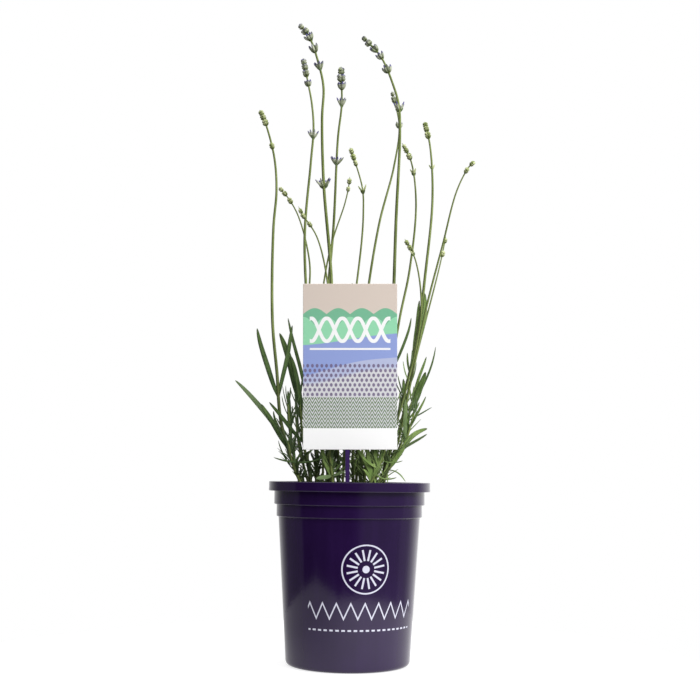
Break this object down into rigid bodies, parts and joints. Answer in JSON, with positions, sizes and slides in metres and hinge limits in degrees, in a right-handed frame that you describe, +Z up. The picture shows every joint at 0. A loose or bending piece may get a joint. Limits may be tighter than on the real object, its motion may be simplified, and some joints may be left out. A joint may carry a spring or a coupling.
{
  "type": "potted lavender",
  "caption": "Lavender plant with tall bud-tipped stalks and leafy shoots, in a dark purple plastic nursery pot, with a flat plant label on a stem.",
  "frame": {"origin": "centre of the pot's underside, where the pot rests", "axes": "+Z up the pot and the plant, -Y the front, where the label stands, +X to the right as seen from the front"},
  "size_m": [0.206, 0.1482, 0.5652],
  "materials": {
    "pot_plastic": "satin",
    "soil": "matte",
    "label_plastic": "satin",
    "stalk": "matte",
    "leaf": "matte"
  },
  "bodies": {
    "root": {"pot": "pot_plastic", "soil": "soil", "label": "label_plastic", "flower_stalk_01": "stalk", "flower_stalk_02": "stalk", "flower_stalk_03": "stalk", "flower_stalk_04": "stalk", "flower_stalk_05": "stalk", "flower_stalk_06": "stalk", "flower_stalk_07": "stalk", "flower_stalk_08": "stalk", "flower_stalk_09": "stalk", "flower_stalk_10": "stalk", "flower_stalk_11": "stalk", "flower_stalk_12": "stalk", "flower_stalk_13": "stalk", "flower_stalk_14": "stalk", "flower_stalk_15": "stalk", "leafy_shoot_01": "leaf", "leafy_shoot_02": "leaf", "leafy_shoot_03": "leaf", "leafy_shoot_04": "leaf", "leafy_shoot_05": "leaf", "leafy_shoot_06": "leaf", "leafy_shoot_07": "leaf", "leafy_shoot_08": "leaf", "leafy_shoot_09": "leaf", "leafy_shoot_10": "leaf", "leafy_shoot_11": "leaf", "leafy_shoot_12": "leaf", "leafy_shoot_13": "leaf", "leafy_shoot_14": "leaf"}
  },
  "joints": []
}
